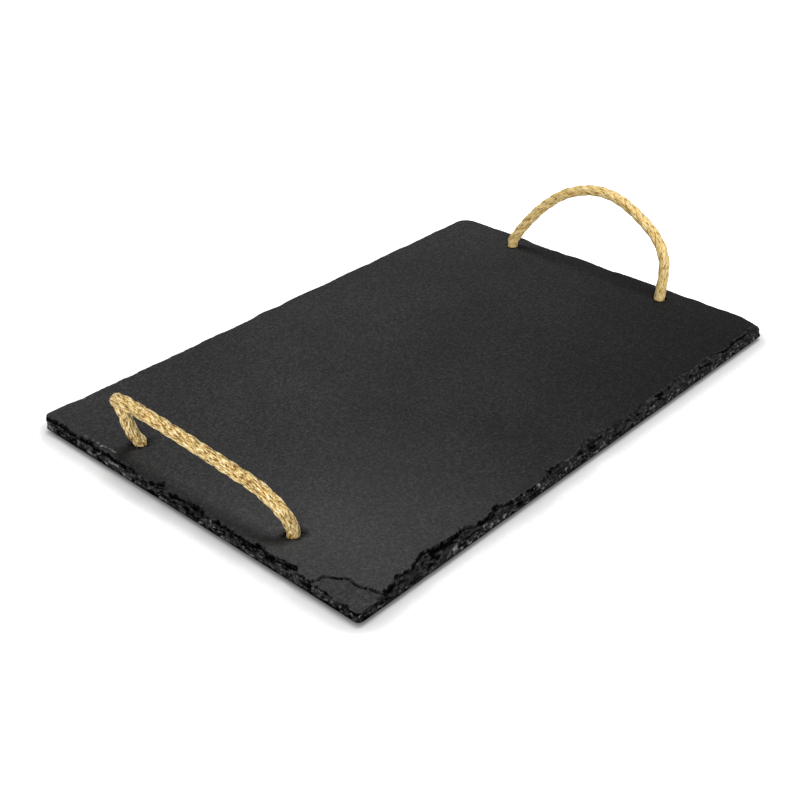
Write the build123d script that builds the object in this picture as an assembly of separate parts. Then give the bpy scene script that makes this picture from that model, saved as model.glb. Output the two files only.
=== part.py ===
from build123d import *
import math
import os

# Slate serving board with two rope loop handles, standing on four low pads.
# +X runs along the board to its rear end, +Y across it to its left side, +Z up.
# The origin is under the middle of the board, on the surface that it stands on.

# Driving dimensions, in millimetres and degrees.
board_length = 300.0
board_width = 200.0
bottom_bed = 2.4
middle_bed = 2.1
top_bed = 1.7
chip_length = 13.0
front_right_cut = 2.0
rear_right_cut = 4.5
rear_left_cut = 6.0
front_left_cut = 3.0
flake_margin = 5.0
base_bite = 0.9
middle_bite = 1.8
top_bite = 2.6
flake_depth = 1.1

rope_diameter = 5.8
rope_hole_gap = 0.35
front_hole_spacing = 97.2
rear_hole_spacing = 99.0
front_hole_inset = 16.2
rear_hole_inset = 11.5
front_pair_shift = 0.4
rear_pair_shift = 5.0
front_lean = 23.0
rear_lean = 10.0
rope_swing_gap = 0.3

recess_depth = 3.0
recess_gap = 0.6
knot_floor_gap = 0.7

foot_diameter = 16.0
foot_end_inset = 34.0
foot_side_inset = 19.0
foot_edge_radius = 0.6

# Shares: the shallowest chip of the deepest, how far a cusp wanders along its chip, and how much of a
# run the rope's bend may take.
least_bite = 0.25
cusp_wander = 0.25
bend_share = 0.45

# A wall knot is two strands thick, drawn flat, and three strands lie side by side round it.
rope_radius = rope_diameter / 2
strand_diameter = rope_diameter / (1 + 2 / math.sqrt(3))
knot_height = 1.7 * strand_diameter
knot_lobe_radius = 1.25 * strand_diameter
knot_lobe_offset = 1.2 * strand_diameter
knot_edge_radius = 0.4 * strand_diameter
knot_radius = knot_lobe_offset + knot_lobe_radius

# Heights: the pads lift the knots just clear of the table, and the slab lies on the pads.
foot_height = knot_height - recess_depth + knot_floor_gap
slab_bottom_z = foot_height
recess_top_z = slab_bottom_z + recess_depth
middle_bed_z = slab_bottom_z + bottom_bed
top_bed_z = middle_bed_z + middle_bed
slab_top_z = top_bed_z + top_bed
hinge_z = slab_top_z + rope_radius + rope_swing_gap

# Each end of the board: its rope holes' X, the middle and spacing of its pair, which way is outwards,
# and how far its handle leans that way.
front_end = {
    "x": front_hole_inset - board_length / 2,
    "middle": front_pair_shift,
    "spacing": front_hole_spacing,
    "outward": -1,
    "lean": front_lean,
}
rear_end = {
    "x": board_length / 2 - rear_hole_inset,
    "middle": rear_pair_shift,
    "spacing": rear_hole_spacing,
    "outward": 1,
    "lean": rear_lean,
}
ends = {"front": front_end, "rear": rear_end}
side_signs = {"left": 1, "right": -1}

# Loop routes in the plane that each handle leans in: (across, up) from the left hole, from the
# middle of the pair and from the right hole. The front loop folds sharply above its left hole.
front_route = {
    "left": [(0, 0), (0.3, 8), (-0.6, 16.5), (-1.8, 23.5), (-6.5, 29.3), (-14, 30), (-26, 29)],
    "middle": [(4, 27)],
    "right": [(30, 23.7), (14.8, 22), (7, 19.2), (2.3, 14), (0, 7), (0, 0)],
}
rear_route = {
    "left": [(0, 0), (-3.5, 6.3), (-9.7, 15.7), (-19, 27), (-31, 36.7)],
    "middle": [(2, 42.8), (-14, 42.2)],
    "right": [(20, 35.5), (8, 27.8), (1.5, 18.5), (0, 8), (0, 0)],
}
routes = {"front": front_route, "rear": rear_route}

# The slab's corners, anticlockwise from the front right one, what each has lost, and how far each side
# that starts there is trimmed back: the right side most, the others nearly square.
slab_corners = [
    (-board_length / 2, -board_width / 2),
    (board_length / 2, -board_width / 2),
    (board_length / 2, board_width / 2),
    (-board_length / 2, board_width / 2),
]
corner_cuts = [front_right_cut, rear_right_cut, rear_left_cut, front_left_cut]
side_trims = [1.0, 0.55, 0.5, 0.6]

# The flake lost from the top at the front right corner: (in from the front end, in from the right side).
flake_outline = [(2.5, 26), (6, 25), (7.5, 22), (11, 18), (11.5, 14.5), (11.4, 10), (13, 6), (14.5, 0)]


def uneven(number, salt):
    """A repeatable value from 0 to 1 that differs from chip to chip and from bed to bed."""
    return 0.5 + 0.5 * math.sin(12.9898 * number + 4.137 * salt)


def chipped_side(number, inset, bite, salt):
    """Arcs of one trimmed side: each chip is a shallow hollow between two cusps on the inset line."""
    start, end = slab_corners[number], slab_corners[(number + 1) % 4]
    first, last = corner_cuts[number], corner_cuts[(number + 1) % 4]
    length = math.dist(start, end)
    along = ((end[0] - start[0]) / length, (end[1] - start[1]) / length)
    chips = max(3, round((length - first - last) / chip_length))
    step = (length - first - last) / chips

    def place(distance, depth):
        return (
            start[0] + along[0] * distance - along[1] * depth,
            start[1] + along[1] * distance + along[0] * depth,
        )

    cusps = [first + inset]
    for chip in range(1, chips):
        cusps.append(first + step * (chip + cusp_wander * (2 * uneven(chip, salt) - 1)))
    cusps.append(length - last - inset)
    arcs = []
    for chip, (low, high) in enumerate(zip(cusps, cusps[1:])):
        hollow = inset + bite * (least_bite + (1 - least_bite) * uneven(chip + 0.5, salt))
        arcs.append(ThreePointArc(place(low, inset), place((low + high) / 2, hollow), place(high, inset)))
    return arcs


def slate_bed(inset, bite, height, salt):
    """One bed of the slate, as thick as height, with all four sides chipped back."""
    edges = []
    for number, trim in enumerate(side_trims):
        arcs = chipped_side(number, inset * trim, bite * trim, salt + 7 * number)
        if edges:
            edges.append(Line(edges[-1] @ 1, arcs[0] @ 0))
        edges += arcs
    edges.append(Line(edges[-1] @ 1, edges[0] @ 0))
    return extrude(make_face(edges), amount=height)


def hole_places():
    """Name and centre of each rope hole."""
    for end_name, end in ends.items():
        for side_name, sign in side_signs.items():
            yield f"{end_name}_{side_name}", (end["x"], end["middle"] + sign * end["spacing"] / 2)


def standing_cylinder(radius, low_z, high_z, place):
    """A plain upright cylinder between two heights."""
    lift = Pos(place[0], place[1], low_z)
    return lift * Cylinder(radius, high_z - low_z, align=(Align.CENTER, Align.CENTER, Align.MIN))


def make_slab():
    """Three beds, each trimmed back from the one below, with the rope holes, recesses and lost flake."""
    slab = Pos(0, 0, slab_bottom_z) * slate_bed(0, base_bite, bottom_bed, 1)
    slab += Pos(0, 0, middle_bed_z) * slate_bed(base_bite, middle_bite, middle_bed, 2)
    slab += Pos(0, 0, top_bed_z) * slate_bed(base_bite + middle_bite, top_bite, top_bed, 3)
    hole_radius = rope_radius + rope_hole_gap
    recess_radius = knot_radius + recess_gap
    for _, place in hole_places():
        slab -= standing_cylinder(hole_radius, slab_bottom_z, slab_top_z, place)
        slab -= standing_cylinder(recess_radius, slab_bottom_z, recess_top_z, place)
    corner = slab_corners[0]
    rim = [(corner[0] + x, corner[1] + y) for x, y in flake_outline]
    outside = [
        (corner[0] + flake_outline[-1][0], corner[1] - flake_margin),
        (corner[0] - flake_margin, corner[1] - flake_margin),
        (corner[0] - flake_margin, corner[1] + flake_outline[0][1]),
    ]
    flake = extrude(make_face(Polyline(*rim, *outside, close=True)), amount=flake_depth)
    return slab - Pos(0, 0, slab_top_z - flake_depth) * flake


def loop_points(end_name):
    """The loop's route in space, from its left hole to its right hole, on the leaning plane."""
    end = ends[end_name]
    lean = math.radians(end["lean"])
    starts = {
        "left": end["middle"] + end["spacing"] / 2,
        "middle": end["middle"],
        "right": end["middle"] - end["spacing"] / 2,
    }
    points = []
    for near, offsets in routes[end_name].items():
        for across, up in offsets:
            x = end["x"] + end["outward"] * math.sin(lean) * up
            points.append(Vector(x, starts[near] + across, hinge_z + math.cos(lean) * up))
    return points


def bend_radii(points):
    """The largest arc that each corner's two runs leave room for."""
    radii = []
    for before, here, after in zip(points, points[1:], points[2:]):
        arriving, leaving = here - before, after - here
        half_turn = math.radians(arriving.get_angle(leaving)) / 2
        radii.append(bend_share * min(arriving.length, leaving.length) / math.tan(half_turn))
    return radii


def make_loop(end_name):
    """A rope tube along the route, with a rounded tip at each hole that turns about the hinge line."""
    points = loop_points(end_name)
    radii = bend_radii(points)
    path = FilletPolyline(*points, radius=radii)
    section = Plane(origin=path @ 0, z_dir=path % 0) * Circle(rope_radius)
    tube = sweep(section, path=path)
    print(end_name, "loop radii", [round(radius, 1) for radius in radii])
    print(end_name, "loop length", round(path.length, 2), "volume", round(tube.volume, 1))
    print(end_name, "section times length", round(math.pi * rope_radius**2 * path.length, 1))
    first_tip = Plane(origin=path @ 0, z_dir=path % 0)
    last_tip = Plane(origin=path @ 1, z_dir=-(path % 1))
    for tip in (first_tip, last_tip):
        tube += tip * Sphere(rope_radius, arc_size1=-90, arc_size2=0, align=None)
    return tube


def make_leg(place):
    """The rope's short stretch inside its hole, from the knot up to the slab's top."""
    return standing_cylinder(rope_radius, recess_top_z, slab_top_z, place)


def make_knot(place):
    """A flat three-strand stopper knot: three rounded lobes round the rope, against the recess."""
    bottom_z = recess_top_z - knot_height
    lobe = standing_cylinder(knot_lobe_radius, bottom_z, recess_top_z, (knot_lobe_offset, 0))
    lobe = fillet(lobe.edges().filter_by(GeomType.CIRCLE), knot_edge_radius)
    knot = standing_cylinder(rope_radius, bottom_z + knot_edge_radius, recess_top_z, (0, 0))
    for number in range(3):
        knot += Rot(0, 0, 120 * number) * lobe
    return Pos(place[0], place[1], 0) * knot


def make_foot(place):
    """A round pad stuck under the slab, with its lower rim rounded."""
    foot = standing_cylinder(foot_diameter / 2, 0, foot_height, place)
    return fillet(foot.edges().group_by(Axis.Z)[0], foot_edge_radius)


pieces = {"slate_slab": make_slab()}
for end_name, end in ends.items():
    pieces[f"{end_name}_handle_loop"] = make_loop(end_name)
    foot_x = end["outward"] * (board_length / 2 - foot_end_inset)
    for side_name, sign in side_signs.items():
        foot_y = sign * (board_width / 2 - foot_side_inset)
        pieces[f"{end_name}_{side_name}_foot"] = make_foot((foot_x, foot_y))
for name, place in hole_places():
    pieces[f"{name}_rope_leg"] = make_leg(place)
    pieces[f"{name}_knot"] = make_knot(place)

os.makedirs("parts", exist_ok=True)
for name, solid in pieces.items():
    export_step(solid, f"parts/{name}.step")
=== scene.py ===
import functools
import itertools
import math

import bmesh
import bpy
import numpy as np
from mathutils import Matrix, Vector
from mathutils.geometry import delaunay_2d_cdt


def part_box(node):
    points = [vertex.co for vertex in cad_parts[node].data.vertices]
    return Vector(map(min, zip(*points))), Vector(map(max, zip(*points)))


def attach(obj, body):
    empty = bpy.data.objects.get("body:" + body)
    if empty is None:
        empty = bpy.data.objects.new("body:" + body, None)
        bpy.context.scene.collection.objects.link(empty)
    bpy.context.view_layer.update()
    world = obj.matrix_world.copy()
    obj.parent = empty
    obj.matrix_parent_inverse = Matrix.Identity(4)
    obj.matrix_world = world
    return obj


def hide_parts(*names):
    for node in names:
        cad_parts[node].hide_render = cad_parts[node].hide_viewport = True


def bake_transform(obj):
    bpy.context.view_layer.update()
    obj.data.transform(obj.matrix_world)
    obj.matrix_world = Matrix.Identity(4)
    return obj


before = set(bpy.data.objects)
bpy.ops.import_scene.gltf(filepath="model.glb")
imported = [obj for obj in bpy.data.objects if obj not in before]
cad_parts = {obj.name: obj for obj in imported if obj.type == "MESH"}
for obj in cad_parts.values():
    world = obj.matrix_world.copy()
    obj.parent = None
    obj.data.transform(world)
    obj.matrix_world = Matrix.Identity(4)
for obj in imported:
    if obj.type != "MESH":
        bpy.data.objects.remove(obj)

# A slate serving board with two rope loop handles, dressed round its frame. Sizes are in millimetres
# until a mesh is made. +X runs to the rear end, +Y to the left side and +Z up.
MM = 0.001
FULL_TURN = 2 * math.pi
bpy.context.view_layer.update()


def box_mm(node_name):
    """Lowest and highest corner of a frame node, in millimetres."""
    return [np.array(corner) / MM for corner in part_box(node_name)]


# Sizes and places that the frame gives.
ends = ("front", "rear")
sides = ("left", "right")
slab_low, slab_high = box_mm("slate_slab")
slab_bottom_z, slab_top_z = slab_low[2], slab_high[2]
leg_boxes = {f"{end}_{side}": box_mm(f"{end}_{side}_rope_leg") for end in ends for side in sides}
hole_places = {name: (low + high)[:2] / 2 for name, (low, high) in leg_boxes.items()}
leg_low, leg_high = leg_boxes["front_left"]
rope_diameter = leg_high[0] - leg_low[0]
rope_radius = rope_diameter / 2
recess_top_z = leg_low[2]
hinge_z = box_mm("front_handle_loop")[0][2] + rope_radius
knot_low, knot_high = box_mm("front_left_knot")

# The photograph's camera: where it stands in metres, how far it looks down and round from +Y to +X.
camera_place = (-0.4099, -0.3571, 0.3264)
camera_pitch = math.radians(31.77)
camera_yaw = math.radians(47.69)
camera_lens = 58.5

# Lamps that face the origin: place and width in metres, and watts. The surround's light is a share of
# white. The floor's half width is in millimetres.
lamps = {"soft_key": ((0.3, 0.0, 2.95), 1.2, 75.0), "low_fill": ((-2.2, -1.9, 0.75), 2.0, 76.0)}
surround_light = 0.104
floor_half_width = 12000.0

# Rope loops, as in the frame: (across, up) in the plane that each handle leans in, from its left hole,
# from the middle of the pair and from its right hole. A third number is how far the point stands out of
# that plane: the front loop's left leg bulges and folds.
handle_leans = {"front": math.radians(23), "rear": math.radians(10)}
outward = {"front": -1, "rear": 1}
rope_routes = {
    "front": {
        "left": [
            (0, 0, 1.6), (0.3, 8, 1.4), (-0.6, 16.5, 0.2), (-1.6, 22.8), (-1.2, 27.2), (-7.6, 28.9),
            (-20, 28.9),
        ],
        "middle": [(4, 27)],
        "right": [(30, 23.7), (14.8, 22), (7, 19.2), (2.3, 14), (0, 7), (0, 0)],
    },
    "rear": {
        "left": [(0, 0), (-3.5, 6.3), (-9.7, 15.7), (-19, 27), (-31, 36.7)],
        "middle": [(2, 42.8), (-14, 42.2)],
        "right": [(20, 35.5), (8, 27.8), (1.5, 18.5), (0, 8), (0, 0)],
    },
}
# Heights from the slab's top of the points that carry each rope down its holes, the last above the top, where
# a rope passes from the board to its handle.
hole_point_heights = (-3.4, -1.2, 1.2)

# The rope: three strands laid to the right, each of many yarns that run nearly along the rope.
rope_lay = 24.0
strand_offset = 0.7
strand_radius = rope_radius - strand_offset
strand_swell = 1.04
yarn_count = 27
yarn_height = 0.2
yarn_follow = 0.86
wisp_height = 0.2
# How much painted shade darkens the lines between strands and between yarns, and how much a wisp lightens it.
strand_groove_shade, yarn_groove_shade, wisp_light = 0.75, 0.7, 0.6
rope_ring = 108
rope_resolution = 40
# At a fold the skin stops at this share of the way to the centre of the bend.
fold_share = 0.85
# Loose fibres that stand off the rope: how many, how long, how thick, how much they taper, how far they lift
# and end, how deep they root, how far above the slab, and the points along each.
hair_seed = 200
hair_count = 90
hair_lengths = (1.5, 4.0)
hair_radius, hair_taper = 0.05, 0.6
hair_lifts = (0.2, 1.2)
hair_reach = 1.7
hair_root, hair_clearance = 0.25, 2.0
hair_points = 5

# Straw colours, by their place from the darkest streak to the palest, with the two ends first. The front
# rope's colours are darker and browner and the rear one's paler: painted shade and painted light that make up
# for how differently the lamps light the two handles.
straw_colours = {
    "front": [(0.375, "#46300f"), (0.64, "#fdf2ce"), (0.45, "#ab8843"), (0.525, "#e2cc8e")],
    "rear": [(0.335, "#6b4818"), (0.62, "#e8d6a6"), (0.42, "#d0a95c"), (0.50, "#ecd89a")],
}

# Wall knots: how far each is turned in radians, a strand's place in the rope, its thickness, its way round
# the knot and its yarns.
knot_turns = {"front_left": 10, "front_right": 11, "rear_left": 9, "rear_right": 10}
strand_root = 1.3
knot_reach = knot_high[0] - hole_places["front_left"][0]
knot_strand_radius = (knot_high[2] - knot_low[2]) / 4
knot_gap = 0.1
knot_sweep = math.radians(250)
knot_steps = 90
knot_ring = 24
strand_lay = 14.0
strand_yarns = 12
strand_yarn_height = 0.12
# Its fibres' pattern: how far on each strand reads it for each radian that the strand starts at, the radius
# that it wraps, how much painted shade darkens its grooves, and how dark its cut ends are.
fibre_shift, fibre_wrap = 40.0, 1.5
knot_groove_shade, cut_groove = 0.9, 0.3
# Shares of a knot strand's length: where it has swung out and starts back in, where it has come down to
# the upper layer, where it dips to the lower one, and its rounded end, cut to this share of its thickness.
swing_shares = (0.22, 0.78)
drop_share = 0.15
dip_shares = (0.42, 0.62)
cut_shares = (0.012, 0.45)

# The slab's outline, from the front right corner round: the radius of each corner at its top and at its
# base, and how finely the mesh follows it.
edge_names = ("right", "rear", "left", "front")
corner_radii = np.array([2.2, 4.8, 8.0, 3.6])
base_radii = np.array([2.2, 3.0, 7.0, 3.0])
inner_radii = np.full(4, 2.0)
arc_samples = (12, 12, 18, 12)
side_samples = {"right": 640, "rear": 270, "left": 360, "front": 440}
band_rows = 28
band_width = 8.0
band_crowding = 1.35
wall_shares = np.append(np.linspace(0, 0.87, 14), (0.92, 1.0))
dark_foot_share = 0.9
face_spacing, face_margin = 3.2, 1.2
base_spacing, base_margin = 5.0, 0.5
scatter_seeds = {"face": 71, "flake": 72, "base": 73}
weld_reach = 0.002
sharp_angle = math.radians(55)

# The rims that the dressing left on the top, as the photograph shows them: (place along X or Y, way in from
# the outline, step down at the rim). Below its rim the break slopes on down to the outline.
dressed_rims = {
    "right": [
        (-150, 0.6, 0.4), (-138, 1.0, 0.7), (-132, 2.2, 1.0), (-128, 2.0, 0.8), (-125, 4.7, 0.9),
        (-119, 2.9, 1.1), (-110, 6.0, 1.1), (-107, 6.8, 1.0), (-103, 5.3, 1.1), (-95, 4.3, 1.1),
        (-88, 4.1, 1.0), (-86, 5.4, 1.0), (-83, 4.3, 1.1), (-79, 2.5, 1.1), (-72, 2.2, 0.9),
        (-68, 3.5, 0.6), (-65, 5.0, 0.5), (-60, 2.0, 0.8), (-53, 0.3, 1.0), (-47, 1.2, 0.8),
        (-42, 0.6, 0.5), (-33, 1.0, 0.6), (-30, 4.0, 0.5), (-22, 3.4, 0.5), (-15, 1.8, 0.3), (-8, 3.5, 0.2),
        (0, 6.4, 0.15), (4, 5.6, 0.2), (9, 5.6, 0.3), (15, 3.6, 0.3), (24, 3.6, 0.4), (30, 3.2, 0.2),
        (38, 3.0, 0.3), (41, 4.4, 0.4), (46, 3.5, 0.3), (55, 3.8, 0.3), (62, 3.4, 0.2), (70, 4.2, 0.5),
        (79, 4.0, 0.5), (82, 2.6, 0.3), (90, 3.4, 0.2), (97, 4.6, 0.15), (104, 4.4, 0.15), (112, 2.4, 0.4),
        (119, 2.2, 0.6), (122, 2.9, 0.9), (136, 2.9, 0.8), (140, 3.6, 0.3), (148, 4.2, 0.2),
        (153, 3.2, 0.2), (160, 0.6, 0.1), (164, -1.0, 0.0),
    ],
    "front": [
        (104, -1.0, 0.0), (98, 1.2, 0.8), (95, 1.8, 1.2), (85, 2.5, 1.3), (81, 1.4, 0.9), (72, 1.4, 1.0),
        (69, 2.5, 1.3), (62, 1.8, 1.3), (57, 1.4, 0.7), (53, 2.0, 1.1), (48, 1.9, 1.1), (44, 1.5, 0.9),
        (38, 2.5, 1.3), (34, 1.2, 0.9), (31, 0.2, 0.7), (26, -0.8, 0.3), (22, 1.2, 0.9), (18, 4.6, 1.3),
        (16, 2.4, 1.3), (13, -0.6, 0.4), (9, 1.4, 1.1), (2, 2.4, 1.3), (-4, 3.1, 1.4), (-9, 2.8, 1.3),
        (-12, 1.0, 0.9), (-15, -0.4, 0.5), (-18, 2.1, 1.1), (-25, 1.9, 1.0), (-28, 2.4, 1.1),
        (-31, 0.3, 0.7), (-35, 1.2, 0.9), (-41, 2.2, 1.3), (-45, 3.1, 1.3), (-48, 1.6, 1.1),
        (-55, 2.0, 1.3), (-60, 2.9, 1.3), (-64, 3.0, 1.3), (-67, 0.2, 0.6), (-71, -0.4, 0.4),
        (-75, 0.3, 0.9), (-80, 0.4, 0.9), (-86, 0.0, 0.4), (-92, 0.6, 0.9), (-97, 0.3, 0.6),
    ],
}
rim_width = 0.45
# The front end's own look holds to the first distance and is gone by the second: from the end, and from its
# right corner along both edges together. Then what differs elsewhere and there: how far the rim frets, how
# steep its slope is, and between which steps its dark line of painted shade comes in. The line starts at the
# rim over a short way, and along the front its gaps are this much lighter.
front_reach, corner_reach = (4, 9), (20, 30)
rim_frets, rim_slopes = (0.12, 0.34), (0.5, 0.8)
line_first_steps, line_full_steps = (0.25, 0.5), (0.9, 1.1)
line_start, line_gap = (-0.1, 0.2), 0.8
# Smaller chips knocked off the outline: how far apart, and the ranges of half length, reach, step at the rim
# and slope. One end of a chip is deeper by a share of its reach.
dressing = {
    "right": {"spacing": 5.0, "half": (2, 7), "reach": (0.4, 2.2), "step": (0.1, 0.6), "slope": (0.4, 1.0)},
    "front": {"spacing": 2.6, "half": (1, 3.5), "reach": (0.2, 1.2), "step": (0.2, 0.7), "slope": (0.8, 1.8)},
}
chip_seed, chip_tilts = 11, (-0.5, 0.5)
most_drop = 5.6
# The beds: how many, and how thick. Over these drops the face turns to broken stone.
bed_seed, bed_count, bed_thickness = 5, 24, (0.45, 1.2)
broken_drops = (0.02, 0.3)
# Marks on the broken top: how much painted shade darkens steep places and hollows, and how pale crests are,
# each from one steepness to another, and how dark the rest of a break is away from the front.
steep_painted_shade, hollow_painted_shade, crest_mark = (0.95, 1.0, 1.9), (0.5, 0.25, 0.7), (0.14, 0.12, 0.45)
break_shade = 0.16
# The wall: how much less its beds are set back at the base, how pale small and broad facets are, the broad
# ones more towards the left of the front end, and how dark its foot is painted, as shade at the lower edge.
wall_taper = 0.85
pale_facet, broad_facet, broad_facet_gain, broad_facet_run = 0.5, 0.12, 0.33, (30, 50)
foot_painted_shade = 0.93
# Dressing is calmer near the front left corner: by this share, over this run.
calm_share, calm_run = 0.9, 14.0
# Pale scuffs: two ends of each, its half width and how pale it is. A scuff fades between these shares of its
# half width.
scuff_fade = np.array([0.4, 1.6])
scuffs = [
    ((-146.8, 72.0, slab_top_z), (-146.5, 63.0, slab_top_z), 0.7, 1.0),
    ((-146.9, 60.0, slab_top_z), (-145.4, 51.5, slab_top_z), 0.7, 1.0),
    ((-149.8, 52.0, 6.4), (-149.8, 41.0, 3.4), 0.4, 1.0),
    ((-99.0, -99.2, 4.2), (-90.0, -99.0, 4.8), 1.0, 0.6),
    ((-78.0, -99.4, 3.8), (-61.0, -99.4, 3.8), 0.8, 0.6),
    ((-31.0, -98.6, 5.0), (-27.0, -98.8, 4.4), 0.9, 0.5),
    ((3.0, -99.5, 3.6), (9.0, -99.0, 4.4), 0.6, 0.5),
]

# Waves of the two sides that were only trimmed, as the photograph shows them: (place along X or Y, inset).
trim_waves = {
    "left": [
        (-150, 0.1), (-139, 0), (-124, 2), (-117, 0.9), (-100, 2), (-80, 1.3), (-67, 1.9), (-53, 0.7),
        (-31, 1.9), (-15, 0.2), (-4, 1.1), (8, 0), (32, 1.1), (46, 0.4), (68, 1), (86, 0.3), (101, 1),
        (122, 0.4), (140, 0.6), (150, 0),
    ],
    "rear": [
        (-100, 0.4), (-80, 0.1), (-68, 0.5), (-60, 0), (-54, 0.7), (-48, 0.3), (-30, 0), (-12, 0.2),
        (-6, 1.2), (4, 0.5), (11, 0.1), (17, 0), (24, 1.1), (30, 0.9), (38, 1.9), (46, 1.2), (56, 0.1),
        (66, 0), (78, 0.2), (90, 0.1), (100, 0),
    ],
}

# The flake lost from the top at the front right corner, as in the frame: (in from the front end, in from
# the right side), the step at its rim and its floor's slope, its finer mesh, and how broken it looks.
flake_rim = [(2.5, 26), (6, 25), (7.5, 22), (11, 18), (11.5, 14.5), (11.4, 10), (13, 6), (14.5, 0)]
flake_depth, flake_step_width, flake_slope = 1.0, 0.3, 0.035
flake_outside = 9.0
flake_reach = np.array([18.0, 30.0])
flake_spacing, flake_band_gap, flake_face_gap = 0.4, 0.3, 0.5
flake_broken = 0.3

# Clefts in broken stone. Hollows lie closer down the break and in from the edge than along it, and are rare
# away from the front. Strokes slant in as they run along the edge.
hollow_crowding = (3.6, 1.6)
hollow_level, hollow_rarity, hollow_edge = 0.565, 0.2, 0.07
stroke_slant, stroke_length = 2.5, 3.0
stroke_crowding = (3.2, 1.2)
stroke_widths = (0.04, 0.13)
stroke_depth = 0.85
top_cleft_depth, wall_cleft_depth = 0.25, 0.45
# How broken the top is where its clefts come in, and how far in from the edge the wall's clefts are read.
cleft_breaks, wall_inset = (0.4, 0.9), 0.5

# Painted light by the front right hole and painted shade at the rear right corner, patches of the bed's
# colour where the light falls brighter and dimmer: middle, how far it reaches, its colour, and how much of
# that it adds.
painted_light_and_shade = [
    ((-125, -70, slab_top_z), 110.0, "#ffffff", 0.016),
    ((115, -125, slab_top_z), 260.0, "#000000", 0.62),
]

# Rope holes and the recesses that take the knots below. A collar keeps the painted shade at a recess's edge
# narrow on the underside.
hole_radius = rope_radius + 0.35
recess_radius = 7.19
hole_ring = 44
hole_margin, recess_margin = 1.6, 1.5
collar_width = 0.5
# Below its mouth a hole narrows: (how much wider than the hole, how deep).
hole_flare = [(0.08, 0.35), (0, 0.8)]
# The slab's point attributes are how broken its stone is, how much painted shade darkens its breaks, holes
# and foot, and how pale its bruises.
hole_marks = {"broken": 0.8, "painted_shade": 0.5, "bruise": 0.0}

# Noise that shapes the pieces: each layer's cell in millimetres, one for each axis where they differ, its
# seed, and its lowest and highest value where these are not 0 and 1.
noise_layers = {
    "yarn_sway": ((5.0, 2.5, 2.5), 0, -0.25, 0.25),
    "rope_lumps": ((1.6 / 0.35, 1.6, 1.6), 10, -0.12, 0.12),
    "rope_wisps": ((1.5, 0.6, 0.6), 20, -0.5, 0.5),
    "strand_wear": ((8.0, 2.4, 2.4), 30),
    "flake_warp_x": (3.0, 21, -0.7, 0.7),
    "flake_warp_y": (3.0, 22, -0.7, 0.7),
    "bed_warp": (13.0, 31, 0, 0.9),
    "bed_fret": (4.0, 32, 0, 0.4),
    "break_rough": (2.6, 33, -0.078, 0.078),
    "break_grit": (1.0, 34, -0.042, 0.042),
    "rim_along": (3.0, 35, -0.6, 0.6),
    "rim_inset": (1.8, 36, -0.35, 0.35),
    "rim_fret": (0.9, 37, -0.5, 0.5),
    "rim_slope": (9.0, 38, 0.6, 1.5),
    "rim_shade_line": (5.0, 39, 0.3, 1.4),
    "rim_gaps": (4.0, 40),
    "face_swell": (34.0, 41, -0.16, 0),
    "face_ripple": (11.0, 42, -0.07, 0),
    "hole_spall": (1.7, 51, 0.05, 0.35),
    "dressed_wave": (12.0, 61, 0.05, 0.65),
    "dressed_nicks": (3.0, 62, 0, 0.45),
    "trimmed_wave": (4.0, 63, -0.25, 0.25),
    "trimmed_nicks": (1.8, 64, -0.15, 0.15),
    "hollows": (4.5, 201, 0, 0.62),
    "hollow_fret": (1.6, 202, 0, 0.38),
    "scuff_breaks": (1.3, 203),
    "bed_sway": (9.0, 204, 0, 0.5),
    "bed_setback": ((5.0, 1.0), 205, 0, 0.75),
    "bed_nicks": ((1.5, 1.0), 206, 0, 0.5),
    "pale_facets": ((1.5, 1.5 / 2.2), 207),
    "wall_shade": ((1.2, 0.6), 208, 0, 0.3),
    "strokes": (3.0, 209, -0.5, 0.5),
    "stroke_patches": (7.0, 210),
    "broad_facets": ((4.0, 2.5), 211),
}

# Levels between which a noise layer makes patches.
patch_levels = {
    "strand_wear": (0.3, 0.75), "rim_gaps": (0.35, 0.55), "scuff_breaks": (0.25, 0.7),
    "pale_facets": (0.62, 0.85), "broad_facets": (0.5, 0.75), "stroke_patches": (0.45, 0.65),
}

# Sockets of a Mix node, which share their names: the factor, the two colours and the colour that comes out,
# the two numbers and the number that comes out.
FACTOR, FIRST, SECOND, MIXED = 0, 6, 7, 2
FIRST_NUMBER, SECOND_NUMBER, MIXED_NUMBER = 2, 3, 0
MIX = {"data_type": "RGBA"}
MULTIPLY = {"data_type": "RGBA", "blend_type": "MULTIPLY"}


def linear(colour):
    """An sRGB hex colour as linear RGBA."""
    parts = [int(colour[start:start + 2], 16) / 255 for start in (1, 3, 5)]
    return [part / 12.92 if part <= 0.04045 else ((part + 0.055) / 1.055) ** 2.4 for part in parts] + [1]


def add_node(tree, kind, out=None, inputs=(), settings=(), stops=()):
    """Adds a shader node, with each input set to a value or linked to a socket, with its settings, and with
    a ramp's (place, hex colour) stops. Gives the output of that name or number, or else the node."""
    made = tree.nodes.new(f"ShaderNode{kind}")
    for name, value in dict(settings).items():
        setattr(made, name, value)
    for name, value in dict(inputs).items():
        if isinstance(value, bpy.types.NodeSocket):
            tree.links.new(value, made.inputs[name])
        else:
            made.inputs[name].default_value = value
    for number, (place, colour) in enumerate(stops):
        elements = made.color_ramp.elements
        stop = elements[number] if number < 2 else elements.new(place)
        stop.position = place
        stop.color = linear(colour)
    return made if out is None else made.outputs[out]


def new_material(name):
    """An empty material, and the function that adds a node to it."""
    material = bpy.data.materials.new(name)
    material.use_nodes = True
    material.node_tree.nodes.clear()
    return material, functools.partial(add_node, material.node_tree)


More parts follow.
